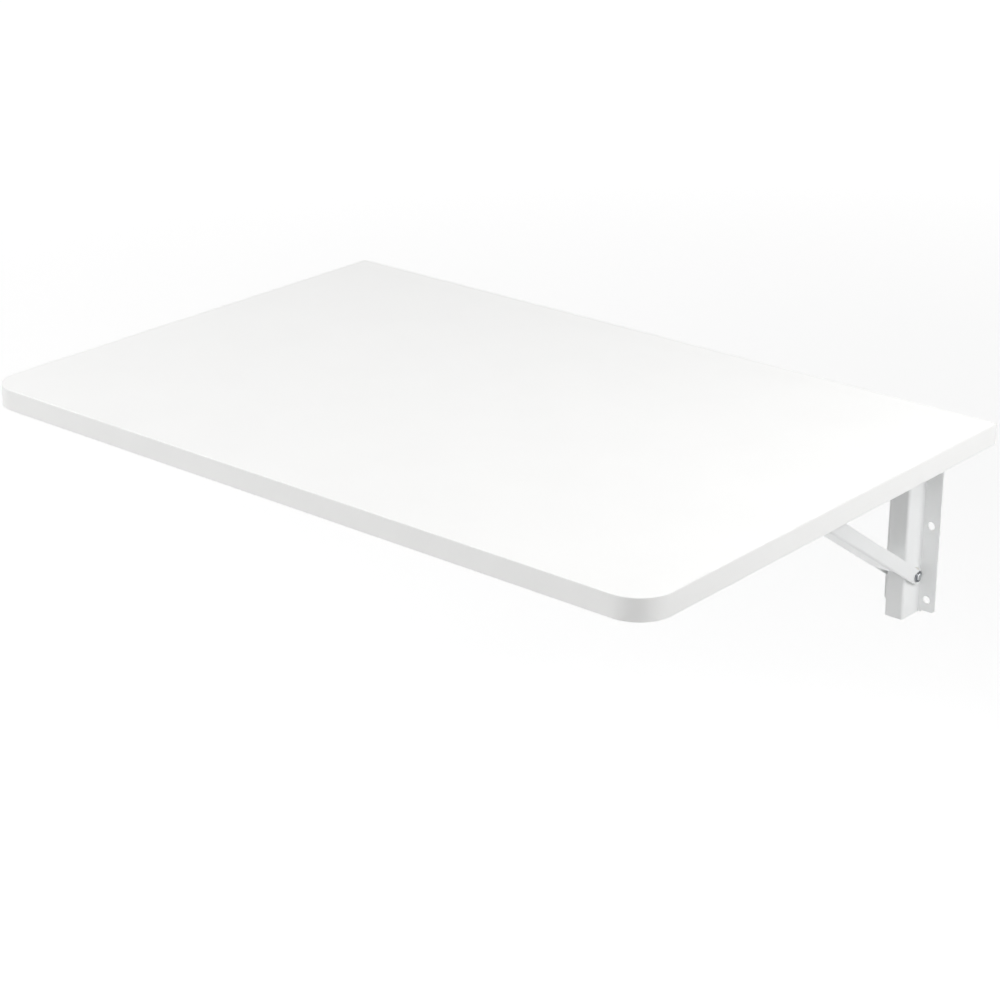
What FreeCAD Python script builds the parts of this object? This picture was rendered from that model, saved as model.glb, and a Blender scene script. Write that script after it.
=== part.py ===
import FreeCAD, Part
import math
import os
import Sketcher
from FreeCAD import Placement, Rotation, Vector

# Wall mounted drop leaf table: one board on two folding brackets.
# Millimetres. The wall is the plane y = 0 and the table stands out along -Y.
# z = 0 is the top of the open board and x = 0 is the middle of its wall edge.
# Each bracket is a channel on the wall, a rail under the board that hinges on the
# channel, and an arm that pivots on the channel and slides along the rail.

document = FreeCAD.newDocument("drop_leaf_table")

SIZES = [
    # board
    ("board_width", 600, "board along the wall"),
    ("board_depth", 400, "board out from the wall"),
    ("board_thickness", 16, "board, top to underside"),
    ("corner_radius", 26, "front corners of the board, seen from above"),
    ("band_thickness", 1, "edge strip round the core"),
    ("edge_round", 0.5, "rounding of the edge strip at the top and the underside"),
    ("wall_gap", 1, "back edge of the board to the wall"),
    ("bracket_inset", 60.5, "side edge of the board to the middle of a bracket"),
    # sheet metal
    ("sheet", 1.5, "thickness of all bracket sheet"),
    ("bend", 0.6, "inside radius of each bend"),
    # wall channel
    ("web_width", 15.4, "channel, outside of one side to outside of the other"),
    ("channel_depth", 22.8, "channel, wall to front"),
    ("flange_span", 42.2, "channel, edge to edge of its wall flanges"),
    ("channel_height", 137, "channel, top to bottom"),
    ("channel_gap", 5.5, "underside of the board to the top of the channel"),
    ("flange_corner", 3, "corner radius of the wall flanges"),
    ("flange_rise", 1.4, "bottom of the flanges above the bottom of the channel"),
    ("channel_slope", 6, "front top corner cut off the channel"),
    ("wall_hole", 6, "diameter of the wall screw holes"),
    ("wall_hole_span", 28, "wall holes, left to right"),
    ("wall_hole_end", 10.5, "end rows of wall holes in from the ends of the channel"),
    # hinge between channel and rail
    ("hinge_from_wall", 12.5, "wall to the hinge pin"),
    ("hinge_drop", 20, "underside of the board down to the hinge pin"),
    ("pin_diameter", 6, "hinge pin, arm pivot and slide pin"),
    ("hinge_head", 10, "diameter of the hinge pin's heads"),
    ("head_height", 1.8, "height of the pin and rivet heads"),
    ("spacer_diameter", 12, "spacers and washers on the pins"),
    # arm
    ("pivot_from_wall", 9.5, "wall to the arm pivot"),
    ("pivot_drop", 111.5, "underside of the board down to the arm pivot"),
    ("pivot_head", 8, "diameter of the arm pivot's inner head"),
    ("pivot_end", 5.2, "diameter of the arm pivot's outer end"),
    ("pivot_groove", 4, "diameter of the arm pivot in its groove"),
    ("ring_diameter", 8.4, "retaining ring of the arm pivot"),
    ("ring_sheet", 0.8, "thickness of the retaining ring"),
    ("ring_mouth", 5.6, "width of the retaining ring's mouth at its rim"),
    ("ring_turn", 77, "mouth of the retaining ring above level, degrees"),
    ("arm_angle", 34.1, "rise of the arm when the table is open, degrees"),
    ("arm_width", 20.8, "arm, outside of one cheek to outside of the other"),
    ("arm_below", 6.9, "arm pivot down to the outside of the arm's web"),
    ("arm_above", 4.4, "arm pivot up to the free edges of the cheeks"),
    ("arm_end", 6.3, "arm beyond its pivot, and beyond the slide pin"),
    ("web_start", 35, "arm pivot to the start of the arm's web"),
    ("web_relief", 0.6, "step up of the cheeks where the web is cut away"),
    # rail
    ("rail_height", 27, "rail, underside of the board to its free edges"),
    ("slot_drop", 18, "underside of the board down to the slot"),
    ("slot_end", 9, "end of the slot to the front end of the rail"),
    ("rail_nose", 8, "corner radius at the front end of the rail"),
    # slide bushes
    ("bush_hub", 6.4, "diameter of the bush where it runs in the slot"),
    ("bush_collar", 11, "diameter of the bush's two collars"),
    ("bush_cap", 2.4, "thickness of the bush's outer collar"),
    # release lever
    ("lever_reach", 32, "slide pin, table open, out to the lever's rivet"),
    ("lever_drop", 7, "underside of the board down to the lever's rivet"),
    ("lever_nose_drop", 14, "lever's rivet down to the tip of the nose"),
    ("lever_nose_height", 10, "nose, tip to top"),
    ("lever_nose_width", 10, "nose, hooking face to the end of its ramp"),
    ("lever_nose_rise", 6, "rise of the ramp"),
    ("lever_hub", 4.5, "lever above its rivet, and to each side of it"),
    ("lever_neck", 5.5, "lever below its rivet"),
    ("lever_handle", 40, "rivet to the end of the handle"),
    ("lever_handle_drop", 13, "rivet down to the end of the handle"),
    ("lever_handle_width", 8, "handle, top to bottom"),
    ("lever_tab", 14, "finger tab, along the handle"),
    ("lever_tab_width", 14, "finger tab, out from the lever"),
    ("lever_round", 1.2, "rounding of the lever's corners"),
    ("rivet_diameter", 5, "lever's rivet where the lever turns on it"),
    ("rivet_shoulder", 6.4, "lever's rivet between rail and lever"),
    ("rivet_head", 9, "diameter of the lever rivet's heads"),
    ("rivet_head_height", 1.2, "height of the lever rivet's heads"),
    # lever spring
    ("wire", 0.8, "spring wire diameter"),
    ("coil_diameter", 8.8, "spring coil, across the middle of the wire"),
    ("coil_pitch", 0.85, "spring coil, one turn to the next"),
    ("spring_leg", 9, "straight legs of the spring"),
    ("wire_bend", 0.8, "bend of the spring wire at the rail, to the middle of the wire"),
    ("anchor_hole", 1.4, "hole in the rail for the tip of the spring"),
    # board screws
    ("screw_diameter", 4, "board screw shank"),
    ("screw_length", 13, "board screw, under its head to its tip"),
    ("screw_tip", 3, "tapered end of the board screw"),
    ("screw_head", 7.6, "diameter of the board screw's head"),
    ("screw_head_height", 2.4, "height of the board screw's head"),
    ("screw_cross", 4, "cross recess, tip to tip"),
    ("screw_cross_width", 1, "cross recess, width of each slot"),
    ("screw_cross_depth", 1.2, "depth of the cross recess"),
    ("screw_first", 20, "hinge pin out to the first board screw"),
    ("screw_pitch", 72, "one board screw to the next"),
    # clearances
    ("clearance", 0.3, "between faces that move past each other"),
    ("running_fit", 0.08, "radial clearance of a pin in a hole that turns on it"),
    ("seat_fit", 0.05, "radial clearance of a pin or screw in a hole that holds it"),
]
SCREW_COUNT = 4
WALL_HOLE_ROWS = 3
COIL_TURNS = 2

LAYOUT = [
    ("underside", "-Sizes.board_thickness", "z of the board's underside"),
    ("wall_hole_pitch", f"(Sizes.channel_height - 2 * Sizes.wall_hole_end) / {WALL_HOLE_ROWS - 1}",
     "wall holes, one row to the next"),
    ("half_width", "Sizes.board_width / 2", "x of the board's side edge"),
    ("back_edge", "-Sizes.wall_gap", "y of the board's back edge"),
    ("front_edge", "-Sizes.wall_gap - Sizes.board_depth", "y of the board's front edge"),
    ("bracket_offset", "Sizes.board_width / 2 - Sizes.bracket_inset", "x of a bracket"),
    ("channel_top", "-Sizes.board_thickness - Sizes.channel_gap", "z"),
    ("channel_bottom", "Layout.channel_top - Sizes.channel_height", "z"),
    ("web_half", "Sizes.web_width / 2", "x of the channel's side from its middle"),
    ("flange_half", "Sizes.flange_span / 2", "x of the flange edge from its middle"),
    ("hinge_y", "-Sizes.hinge_from_wall", "y"),
    ("hinge_z", "-Sizes.board_thickness - Sizes.hinge_drop", "z"),
    ("pivot_y", "-Sizes.pivot_from_wall", "y"),
    ("pivot_z", "-Sizes.board_thickness - Sizes.pivot_drop", "z"),
    ("arm_half", "Sizes.arm_width / 2", "x of the arm's outside from its middle"),
    ("arm_inner", "Layout.arm_half - Sizes.sheet", "x of the arm's inside"),
    ("head_inner", "Layout.arm_half + Sizes.clearance", "x of the pivot head's inside"),
    ("head_outer", "Layout.head_inner + Sizes.head_height", "x of the pivot head's outside"),
    ("rail_inner", "Layout.head_outer + Sizes.clearance", "x of the rail's inside"),
    ("rail_outer", "Layout.rail_inner + Sizes.sheet", "x of the rail's outside"),
    ("rail_tail", "Sizes.rail_height - Sizes.hinge_drop", "rail behind the hinge pin"),
    ("slot_z", "-Sizes.board_thickness - Sizes.slot_drop", "z of the slot"),
    ("slot_lift", "Layout.slot_z - Layout.hinge_z", "slot above the hinge pin"),
    ("arm_length", "(Layout.slot_z - Layout.pivot_z) / sin(Sizes.arm_angle)", "pivot to slide pin"),
    ("slide_y", "Layout.pivot_y - Layout.arm_length * cos(Sizes.arm_angle)", "y, table open"),
    ("lean", "Layout.pivot_y - Layout.hinge_y + Layout.slot_lift", "arm out of plumb, folded"),
    ("reach_folded", "Layout.hinge_z - Layout.pivot_z + sqrt(Layout.arm_length^2 - Layout.lean^2)",
     "hinge pin to slide pin along the rail, table folded"),
    ("bush_radius", "Sizes.bush_hub / 2", "bush in the slot"),
    ("slot_radius", "Layout.bush_radius + Sizes.clearance", "half the slot's height"),
    ("slot_far_y", "Layout.hinge_y - Layout.reach_folded", "y of the slide pin in the open rail, folded"),
    ("rail_front_y", "Layout.slot_far_y - Layout.slot_radius - Sizes.slot_end", "y"),
    ("rail_back_y", "Layout.hinge_y + Layout.rail_tail", "y"),
    ("bush_cap_inner", "Layout.rail_outer + Sizes.clearance", "x"),
    ("bush_cap_outer", "Layout.bush_cap_inner + Sizes.bush_cap", "x"),
    ("lever_inner", "Layout.bush_cap_outer + Sizes.clearance", "x of the lever's inside"),
    ("lever_outer", "Layout.lever_inner + Sizes.sheet", "x of the lever's outside"),
    ("lever_y", "Layout.slide_y - Sizes.lever_reach", "y of the lever's rivet"),
    ("lever_z", "-Sizes.board_thickness - Sizes.lever_drop", "z of the lever's rivet"),
    ("nose_y", "Layout.slide_y - Sizes.bush_collar / 2 - Sizes.clearance", "y of the hooking face"),
    ("screw_y", "Layout.hinge_y - Sizes.screw_first", "y of the first board screw"),
    ("screw_seat_z", "-Sizes.board_thickness - Sizes.sheet", "z of the board screw head's seat"),
]

sizes = document.addObject("Spreadsheet::Sheet", "Sizes")
for row, (alias, size, note) in enumerate(SIZES, 1):
    sizes.set(f"A{row}", alias)
    sizes.set(f"B{row}", str(size))
    sizes.set(f"C{row}", note)
    sizes.setAlias(f"B{row}", alias)

layout = document.addObject("Spreadsheet::Sheet", "Layout")
for row, (alias, formula, note) in enumerate(LAYOUT, 1):
    layout.set(f"A{row}", alias)
    layout.set(f"B{row}", "=" + formula.replace("Layout.", ""))
    layout.set(f"C{row}", note)
    layout.setAlias(f"B{row}", alias)
document.recompute()

sub_parts = []


def number(expression):
    """The value of an expression over the two sheets."""
    value = sizes.evalExpression(str(expression))
    return float(getattr(value, "Value", value))


def new_body(name, x="0", y="0", z="0"):
    """A body whose origin stands at x, y, z; its label names its file."""
    body = document.addObject("PartDesign::Body", name)
    body.Label = name
    body.setExpression("Placement.Base.x", x)
    body.setExpression("Placement.Base.y", y)
    body.setExpression("Placement.Base.z", z)
    sub_parts.append(body)
    return body


def new_sketch(body, plane, offset="0"):
    """A sketch on an origin plane of the body, moved along the plane's normal."""
    sketch = body.newObject("Sketcher::SketchObject", body.Name + "_sketch")
    support = next(item for item in body.Origin.OriginFeatures if item.Role == plane)
    sketch.AttachmentSupport = (support, [""])
    sketch.MapMode = "FlatFace"
    sketch.setExpression("AttachmentOffset.Base.z", offset)
    return sketch


def pin_point(sketch, geometry, point, place):
    """Tie a point of the sketch to a pair of expressions."""
    for kind, expression in zip(("DistanceX", "DistanceY"), place):
        constraint = Sketcher.Constraint(kind, -1, 1, geometry, point, number(expression))
        index = sketch.addConstraint(constraint)
        sketch.setExpression(f"Constraints[{index}]", expression)


def draw_outline(sketch, corners):
    """A closed polygon through corners, each a pair of expressions."""
    first = sketch.GeometryCount
    count = len(corners)
    places = [Vector(number(across), number(along), 0) for across, along in corners]
    for index in range(count):
        line = Part.LineSegment(places[index], places[(index + 1) % count])
        sketch.addGeometry(line)
    for index in range(count):
        following = first + (index + 1) % count
        sketch.addConstraint(Sketcher.Constraint("Coincident", first + index, 2, following, 1))
        pin_point(sketch, first + index, 1, corners[index])


def draw_circle(sketch, centre, diameter):
    """A circle about a pair of expressions."""
    middle = Vector(number(centre[0]), number(centre[1]), 0)
    circle = Part.Circle(middle, Vector(0, 0, 1), number(diameter) / 2)
    geometry = sketch.addGeometry(circle)
    pin_point(sketch, geometry, 3, centre)
    index = sketch.addConstraint(Sketcher.Constraint("Diameter", geometry, number(diameter)))
    sketch.setExpression(f"Constraints[{index}]", diameter)


def draw_slot(sketch, near, far, radius):
    """A round-ended slot from near to far, both on one level."""
    size = number(radius)
    ends = [Vector(number(across), number(along), 0) for across, along in (near, far)]
    quarter = math.pi / 2
    arcs = []
    for middle, turn in zip(ends, (quarter, -quarter)):
        circle = Part.Circle(middle, Vector(0, 0, 1), size)
        arcs.append(sketch.addGeometry(Part.ArcOfCircle(circle, turn, turn + math.pi)))
    up = Vector(0, size, 0)
    top = sketch.addGeometry(Part.LineSegment(ends[0] + up, ends[1] + up))
    bottom = sketch.addGeometry(Part.LineSegment(ends[0] - up, ends[1] - up))
    joints = [(arcs[0], 1, top, 1), (arcs[0], 2, bottom, 1)]
    joints += [(arcs[1], 2, top, 2), (arcs[1], 1, bottom, 2)]
    for joint in joints:
        sketch.addConstraint(Sketcher.Constraint("Tangent", *joint))
    for arc, place in zip(arcs, (near, far)):
        pin_point(sketch, arc, 3, place)
    index = sketch.addConstraint(Sketcher.Constraint("Radius", arcs[0], size))
    sketch.setExpression(f"Constraints[{index}]", radius)


def pad(body, sketch, length, symmetric=False, backward=False):
    """Thicken a sketch along its normal, both ways from it, or against it."""
    feature = body.newObject("PartDesign::Pad", body.Name + "_pad")
    feature.Profile = sketch
    feature.SideType = "Symmetric" if symmetric else "One side"
    feature.Reversed = backward
    feature.setExpression("Length", length)
    document.recompute()
    return feature


def cut(body, sketch, length, symmetric=False, backward=False):
    """Cut a sketch out of the body against its normal, and see that it did cut."""
    before = body.Shape.Volume
    feature = body.newObject("PartDesign::Pocket", body.Name + "_cut")
    feature.Profile = sketch
    feature.SideType = "Symmetric" if symmetric else "One side"
    feature.Reversed = backward
    feature.setExpression("Length", length)
    document.recompute()
    if not body.Shape.Volume < before - 1e-6:
        raise RuntimeError(f"{body.Label}: a cut removed nothing")
    return feature


def revolve(body, sketch):
    """Turn a sketch of distance along and radius once round the X axis."""
    feature = body.newObject("PartDesign::Revolution", body.Name + "_turn")
    feature.Profile = sketch
    feature.ReferenceAxis = (sketch, ["H_Axis"])
    feature.Angle = 360
    document.recompute()
    return feature


def round_edges(body, radius, chosen):
    """Fillet the edges of the body that chosen() picks."""
    base = body.Tip
    names = [f"Edge{i}" for i, edge in enumerate(base.Shape.Edges, 1) if chosen(edge)]
    if not names:
        raise RuntimeError(f"{body.Label}: no edge to round")
    feature = body.newObject("PartDesign::Fillet", body.Name + "_round")
    feature.Base = (base, names)
    feature.setExpression("Radius", radius)
    document.recompute()
    if "Invalid" in feature.State:
        raise RuntimeError(f"{body.Label}: a rounding failed")
    return feature


def straight_along(axis, places):
    """A test for straight edges along axis "x", "y" or "z" through given places.

    Each place is a pair of expressions for the other two coordinates."""
    others = [name for name in "xyz" if name != axis]
    wanted = [(number(one), number(two)) for one, two in places]

    def chosen(edge):
        if edge.Curve.TypeId != "Part::GeomLine":
            return False
        direction = edge.tangentAt(edge.FirstParameter)
        if abs(abs(getattr(direction, axis)) - 1) > 1e-6:
            return False
        middle = edge.CenterOfMass
        here = [getattr(middle, name) for name in others]
        return any(math.dist(here, place) < 1e-4 for place in wanted)

    return chosen


def rim_at(distance, diameter):
    """A test for round edges about the X axis, at a distance each way along it."""
    wanted = abs(number(distance))
    radius = number(diameter) / 2

    def chosen(edge):
        if edge.Curve.TypeId != "Part::GeomCircle":
            return False
        level = abs(abs(edge.Curve.Center.x) - wanted) < 1e-4
        return level and abs(edge.Curve.Radius - radius) < 1e-4

    return chosen


def outline_of_board(inset):
    """Plan of the board with all its edges moved in by inset."""
    side = f"(Layout.half_width - ({inset}))"
    back = f"Layout.back_edge - ({inset})"
    front = f"Layout.front_edge + ({inset})"
    return [(f"-{side}", back), (f"-{side}", front), (side, front), (side, back)]


def screw_places():
    """Distances of the board screws from the wall, as expressions."""
    return [f"Layout.screw_y - {index} * Sizes.screw_pitch" for index in range(SCREW_COUNT)]


def make_board():
    """Core of the board, drilled from below for the screws of both rails."""
    body = new_body("table_board")
    plan = new_sketch(body, "XY_Plane")
    corners = outline_of_board("Sizes.band_thickness")
    draw_outline(plan, corners)
    pad(body, plan, "Sizes.board_thickness", backward=True)
    round_edges(body, "Sizes.corner_radius - Sizes.band_thickness",
                straight_along("z", corners[1:3]))
    holes = new_sketch(body, "XY_Plane", "Layout.underside")
    for hand in (1, -1):
        for place in screw_places():
            centre = (f"{hand} * Layout.bracket_offset", place)
            draw_circle(holes, centre, "Sizes.screw_diameter + 2 * Sizes.seat_fit")
    cut(body, holes, "Sizes.screw_length - Sizes.sheet + Sizes.clearance", backward=True)


def make_front_band():
    """One strip along the left edge, round the front and back along the right edge."""
    body = new_body("front_edge_band")
    plan = new_sketch(body, "XY_Plane")
    outside = outline_of_board("0")
    inside = outline_of_board("Sizes.band_thickness")
    inside[0] = (inside[0][0], "Layout.back_edge")
    inside[3] = (inside[3][0], "Layout.back_edge")
    draw_outline(plan, outside + inside[::-1])
    pad(body, plan, "Sizes.board_thickness", backward=True)
    round_edges(body, "Sizes.corner_radius", straight_along("z", outside[1:3]))
    round_edges(body, "Sizes.corner_radius - Sizes.band_thickness",
                straight_along("z", inside[1:3]))
    levels = (0.0, number("Layout.underside"))
    half_width = number("Layout.half_width")
    front = number("Layout.front_edge")
    corner = number("Sizes.corner_radius")

    def on_outer_rim(edge):
        box = edge.BoundBox
        if box.ZLength > 1e-6 or min(abs(box.ZMin - level) for level in levels) > 1e-6:
            return False
        middle = edge.valueAt((edge.FirstParameter + edge.LastParameter) / 2)
        at_side = abs(abs(middle.x) - half_width) < 1e-4
        at_front = abs(middle.y - front) < 1e-4
        centre = Vector(math.copysign(half_width - corner, middle.x), front + corner, middle.z)
        at_corner = abs(middle.distanceToPoint(centre) - corner) < 1e-4
        return at_side or at_front or at_corner

    round_edges(body, "Sizes.edge_round", on_outer_rim)


def make_rear_band():
    """Strip along the wall edge of the core, between the ends of the other strip."""
    body = new_body("rear_edge_band")
    plan = new_sketch(body, "XY_Plane")
    side = "(Layout.half_width - Sizes.band_thickness)"
    inner = "Layout.back_edge - Sizes.band_thickness"
    draw_outline(plan, [(f"-{side}", inner), (side, inner),
                        (side, "Layout.back_edge"), (f"-{side}", "Layout.back_edge")])
    pad(body, plan, "Sizes.board_thickness", backward=True)
    places = [("Layout.back_edge", "0"), ("Layout.back_edge", "Layout.underside")]
    round_edges(body, "Sizes.edge_round", straight_along("x", places))


def bracket_body(name, hand, y="0", z="0"):
    """A body in the middle plane of one bracket; hand is 1 for right, -1 for left."""
    side = "right" if hand > 0 else "left"
    return new_body(f"{side}_{name}", f"{hand} * Layout.bracket_offset", y, z)


def make_wall_channel(hand):
    """Hat-shaped channel: two flanges on the wall, two sides and a front."""
    body = bracket_body("wall_channel", hand)
    plan = new_sketch(body, "XY_Plane", "Layout.channel_top")
    flange = "Layout.flange_half"
    outside = "Layout.web_half"
    inside = "(Layout.web_half - Sizes.sheet)"
    face = "-Sizes.sheet"
    front = "-Sizes.channel_depth"
    front_inside = "(Sizes.sheet - Sizes.channel_depth)"
    draw_outline(plan, [
        (f"-{flange}", "0"), (f"-{flange}", face), (f"-{outside}", face), (f"-{outside}", front),
        (outside, front), (outside, face), (flange, face), (flange, "0"),
        (inside, "0"), (inside, front_inside), (f"-{inside}", front_inside), (f"-{inside}", "0")])
    pad(body, plan, "Sizes.channel_height", backward=True)
    tight = [(f"{sign} * {outside}", face) for sign in (1, -1)]
    tight += [(f"{sign} * {inside}", front_inside) for sign in (1, -1)]
    round_edges(body, "Sizes.bend", straight_along("z", tight))
    wide = [(f"{sign} * {outside}", front) for sign in (1, -1)]
    wide += [(f"{sign} * {inside}", "0") for sign in (1, -1)]
    round_edges(body, "Sizes.bend + Sizes.sheet", straight_along("z", wide))
    trim = new_sketch(body, "XZ_Plane")
    low = "Layout.channel_bottom"
    clear = "(Layout.web_half + Sizes.bend + Sizes.sheet)"
    for sign in (1, -1):
        draw_outline(trim, [
            (f"{sign} * {clear}", low), (f"{sign} * {flange}", low),
            (f"{sign} * {flange}", f"{low} + Sizes.flange_rise"),
            (f"{sign} * {clear}", f"{low} + Sizes.flange_rise")])
        for row in range(WALL_HOLE_ROWS):
            level = f"{low} + Sizes.wall_hole_end + {row} * Layout.wall_hole_pitch"
            draw_circle(trim, (f"{sign} * Sizes.wall_hole_span / 2", level), "Sizes.wall_hole")
    cut(body, trim, "4 * Sizes.sheet", symmetric=True)
    corners = [(f"{sign} * {flange}", level) for sign in (1, -1)
               for level in ("Layout.channel_top", f"{low} + Sizes.flange_rise")]
    round_edges(body, "Sizes.flange_corner", straight_along("y", corners))
    profile = new_sketch(body, "YZ_Plane")
    bore = "Sizes.pin_diameter + 2 * Sizes.seat_fit"
    draw_circle(profile, ("Layout.hinge_y", "Layout.hinge_z"), bore)
    draw_circle(profile, ("Layout.pivot_y", "Layout.pivot_z"), bore)
    draw_outline(profile, [
        (f"{front} - Sizes.sheet", "Layout.channel_top + Sizes.sheet"),
        (f"{front} - Sizes.sheet", "Layout.channel_top - Sizes.channel_slope - Sizes.sheet"),
        (f"{front} + Sizes.channel_slope + Sizes.sheet", "Layout.channel_top + Sizes.sheet")])
    cut(body, profile, "Sizes.flange_span", symmetric=True)


def make_top_rail(hand):
    """U-shaped rail under the board, open below, with a slot in both cheeks."""
    body = bracket_body("top_rail", hand)
    section = new_sketch(body, "XZ_Plane", "-Layout.rail_back_y")
    outside = "Layout.rail_outer"
    inside = "Layout.rail_inner"
    top = "Layout.underside"
    under = "(Layout.underside - Sizes.sheet)"
    bottom = "(Layout.underside - Sizes.rail_height)"
    draw_outline(section, [
        (f"-{outside}", top), (f"-{outside}", bottom), (f"-{inside}", bottom), (f"-{inside}", under),
        (inside, under), (inside, bottom), (outside, bottom), (outside, top)])
    pad(body, section, "Layout.rail_back_y - Layout.rail_front_y")
    signs = (1, -1)
    round_edges(body, "Sizes.bend",
                straight_along("y", [(f"{sign} * {inside}", under) for sign in signs]))
    round_edges(body, "Sizes.bend + Sizes.sheet",
                straight_along("y", [(f"{sign} * {outside}", top) for sign in signs]))
    round_edges(body, "Layout.rail_tail", straight_along("x", [("Layout.rail_back_y", bottom)]))
    round_edges(body, "Sizes.rail_nose", straight_along("x", [("Layout.rail_front_y", bottom)]))
    profile = new_sketch(body, "YZ_Plane")
    draw_circle(profile, ("Layout.hinge_y", "Layout.hinge_z"),
                "Sizes.pin_diameter + 2 * Sizes.running_fit")
    draw_slot(profile, ("Layout.slot_far_y", "Layout.slot_z"),
              ("Layout.slide_y", "Layout.slot_z"), "Layout.slot_radius")
    cut(body, profile, "4 * Layout.rail_outer", symmetric=True)
    inner_cheek = new_sketch(body, "YZ_Plane")
    draw_circle(inner_cheek, ("Layout.lever_y", "Layout.lever_z"),
                "Sizes.rivet_diameter + 2 * Sizes.seat_fit")
    draw_circle(inner_cheek, ("Layout.lever_y - Sizes.spring_leg",
                              "Layout.lever_z + Sizes.coil_diameter / 2"), "Sizes.anchor_hole")
    cut(body, inner_cheek, "2 * Layout.rail_outer", backward=hand < 0)
    plan = new_sketch(body, "XY_Plane", "Layout.underside")
    for place in screw_places():
        draw_circle(plan, ("0", place), "Sizes.screw_diameter + 2 * Sizes.seat_fit")
    cut(body, plan, "2 * Sizes.sheet")


def make_support_arm(hand):
    """U-shaped arm, open above; its cheeks straddle the channel at the lower end."""
    body = bracket_body("support_arm", hand, "Layout.pivot_y", "Layout.pivot_z")
    body.Placement = Placement(Vector(), Rotation(Vector(-1, 0, 0), number("Sizes.arm_angle")))
    body.setExpression("Placement.Rotation.Angle", "Sizes.arm_angle")
    section = new_sketch(body, "XZ_Plane", "-Sizes.arm_end")
    outside = "Layout.arm_half"
    inside = "Layout.arm_inner"
    top = "Sizes.arm_above"
    floor = "(Sizes.sheet - Sizes.arm_below)"
    bottom = "-Sizes.arm_below"
    draw_outline(section, [
        (f"-{outside}", top), (f"-{outside}", bottom), (outside, bottom), (outside, top),
        (inside, top), (inside, floor), (f"-{inside}", floor), (f"-{inside}", top)])
    pad(body, section, "Layout.arm_length + 2 * Sizes.arm_end")
    side = new_sketch(body, "YZ_Plane")
    below = f"{bottom} - Sizes.sheet"
    step = f"{bottom} + Sizes.web_relief"
    tail = "Sizes.arm_end"
    tip = "(-Layout.arm_length - Sizes.arm_end)"
    tip_web = "(-Layout.arm_length + Sizes.arm_end)"
    beyond = "2 * Sizes.sheet"
    draw_outline(side, [
        (f"{tail} + {beyond}", below), ("-Sizes.web_start", below),
        ("-Sizes.web_start", step), (f"{tail} + {beyond}", step)])
    draw_outline(side, [
        (tip_web, below), (f"{tip} - {beyond}", below),
        (f"{tip} - {beyond}", step), (tip_web, step)])
    cut(body, side, "2 * Sizes.arm_width", symmetric=True)
    mouth = new_sketch(body, "XY_Plane", bottom)
    for start, end in ((f"{tail} + {beyond}", "-Sizes.web_start"), (tip_web, f"{tip} - {beyond}")):
        draw_outline(mouth, [(f"-{inside}", start), (f"-{inside}", end),
                             (inside, end), (inside, start)])
    cut(body, mouth, "2 * Sizes.arm_below", symmetric=True)
    signs = (1, -1)
    round_edges(body, "Sizes.bend",
                straight_along("y", [(f"{sign} * {inside}", floor) for sign in signs]))
    round_edges(body, "Sizes.bend + Sizes.sheet",
                straight_along("y", [(f"{sign} * {outside}", bottom) for sign in signs]))
    round_edges(body, f"{step} + 2 * Sizes.arm_below - 2 * Sizes.web_relief",
                straight_along("x", [(tail, step), (tip, step)]))
    round_edges(body, f"0.8 * {top}", straight_along("x", [(tail, top), (tip, top)]))
    holes = new_sketch(body, "YZ_Plane")
    draw_circle(holes, ("0", "0"), "Sizes.pin_diameter + 2 * Sizes.running_fit")
    draw_circle(holes, ("-Layout.arm_length", "0"), "Sizes.pin_diameter + 2 * Sizes.seat_fit")
    cut(body, holes, "2 * Sizes.arm_width", symmetric=True)


def make_pin(name, hand, y, z, inner, head_diameter):
    """Pin across the bracket with a domed head outside inner at each end."""
    body = bracket_body(name, hand, y, z)
    half = new_sketch(body, "XZ_Plane")
    outer = f"({inner} + Sizes.head_height)"
    shank = "Sizes.pin_diameter / 2"
    head = f"{head_diameter} / 2"
    draw_outline(half, [
        (f"-{outer}", "0"), (f"-{outer}", head), (f"-{inner}", head), (f"-{inner}", shank),
        (inner, shank), (inner, head), (outer, head), (outer, "0")])
    revolve(body, half)
    round_edges(body, "0.8 * Sizes.head_height", rim_at(outer, head_diameter))


def make_arm_pivot(hand):
    """Pin of the arm, with a domed inner head and a groove at its outer end."""
    body = bracket_body("arm_pivot", hand, "Layout.pivot_y", "Layout.pivot_z")
    half = new_sketch(body, "XZ_Plane")
    back = f"{-hand} * Layout.head_outer"
    seat = f"{-hand} * Layout.head_inner"
    shoulder = f"{hand} * (Layout.head_inner - Sizes.seat_fit)"
    keeper = f"{hand} * (Layout.head_inner + Sizes.ring_sheet + Sizes.seat_fit)"
    end = f"{hand} * Layout.head_outer"
    head = "Sizes.pivot_head / 2"
    shank = "Sizes.pin_diameter / 2"
    groove = "Sizes.pivot_groove / 2"
    nub = "Sizes.pivot_end / 2"
    draw_outline(half, [
        (back, "0"), (back, head), (seat, head), (seat, shank), (shoulder, shank),
        (shoulder, groove), (keeper, groove), (keeper, nub), (end, nub), (end, "0")])
    revolve(body, half)
    round_edges(body, "0.8 * Sizes.head_height", rim_at("Layout.head_outer", "Sizes.pivot_head"))
    round_edges(body, "Sizes.pivot_end / 10", rim_at("Layout.head_outer", "Sizes.pivot_end"))


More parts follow.
